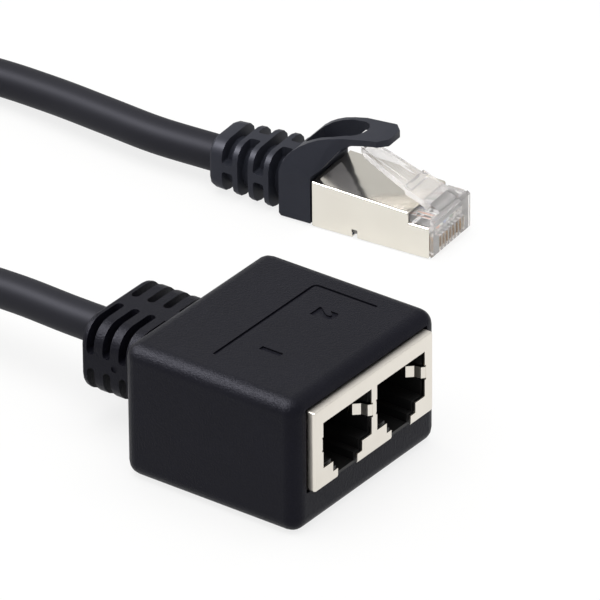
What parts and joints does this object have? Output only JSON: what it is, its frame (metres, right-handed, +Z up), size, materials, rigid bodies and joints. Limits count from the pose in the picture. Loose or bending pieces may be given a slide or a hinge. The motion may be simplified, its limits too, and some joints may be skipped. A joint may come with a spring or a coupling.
{
  "type": "rj45 splitter adapter",
  "caption": "Network splitter lead: moulded black housing with side-by-side shielded jacks, round cable and shielded plug with boot.",
  "frame": {"origin": "bottom centre of the housing with its strain relief and the jacks' front plate", "axes": "+Z up from the housing's broad base, -Y out of the two jacks' mouths, +Y along the cable's exit, +X to the right when the jacks are seen from behind the housing"},
  "size_m": [0.091, 0.1564, 0.0225],
  "materials": {
    "housing": "satin moulded PVC",
    "nickel": "bright nickel plating",
    "insulator": "satin nylon",
    "gold": "gold-plated phosphor bronze",
    "board": "green solder mask",
    "jacket": "satin extruded PVC",
    "clear": "clear polycarbonate",
    "boot": "matt moulded PVC",
    "conductor_1": "extruded polyethylene",
    "conductor_2": "extruded polyethylene",
    "conductor_3": "extruded polyethylene",
    "conductor_4": "extruded polyethylene",
    "conductor_5": "extruded polyethylene",
    "conductor_6": "extruded polyethylene",
    "conductor_7": "extruded polyethylene",
    "conductor_8": "extruded polyethylene"
  },
  "bodies": {
    "root": {"housing": "housing", "jack_shield": "nickel", "jack_body": "insulator", "jack_1_contact_1": "gold", "jack_1_contact_2": "gold", "jack_1_contact_3": "gold", "jack_1_contact_4": "gold", "jack_1_contact_5": "gold", "jack_1_contact_6": "gold", "jack_1_contact_7": "gold", "jack_1_contact_8": "gold", "jack_2_contact_1": "gold", "jack_2_contact_2": "gold", "jack_2_contact_3": "gold", "jack_2_contact_4": "gold", "jack_2_contact_5": "gold", "jack_2_contact_6": "gold", "jack_2_contact_7": "gold", "jack_2_contact_8": "gold", "circuit_board": "board", "board_wire_1": "conductor_1", "board_wire_2": "conductor_2", "board_wire_3": "conductor_3", "board_wire_4": "conductor_4", "board_wire_5": "conductor_5", "board_wire_6": "conductor_6", "board_wire_7": "conductor_7", "board_wire_8": "conductor_8", "cable": "jacket", "plug_body": "clear", "plug_shield": "nickel", "plug_boot": "boot", "plug_load_bar": "clear", "plug_contact_1": "gold", "plug_contact_2": "gold", "plug_contact_3": "gold", "plug_contact_4": "gold", "plug_contact_5": "gold", "plug_contact_6": "gold", "plug_contact_7": "gold", "plug_contact_8": "gold", "plug_wire_1": "conductor_1", "plug_wire_2": "conductor_2", "plug_wire_3": "conductor_3", "plug_wire_4": "conductor_4", "plug_wire_5": "conductor_5", "plug_wire_6": "conductor_6", "plug_wire_7": "conductor_7", "plug_wire_8": "conductor_8"}
  },
  "joints": []
}
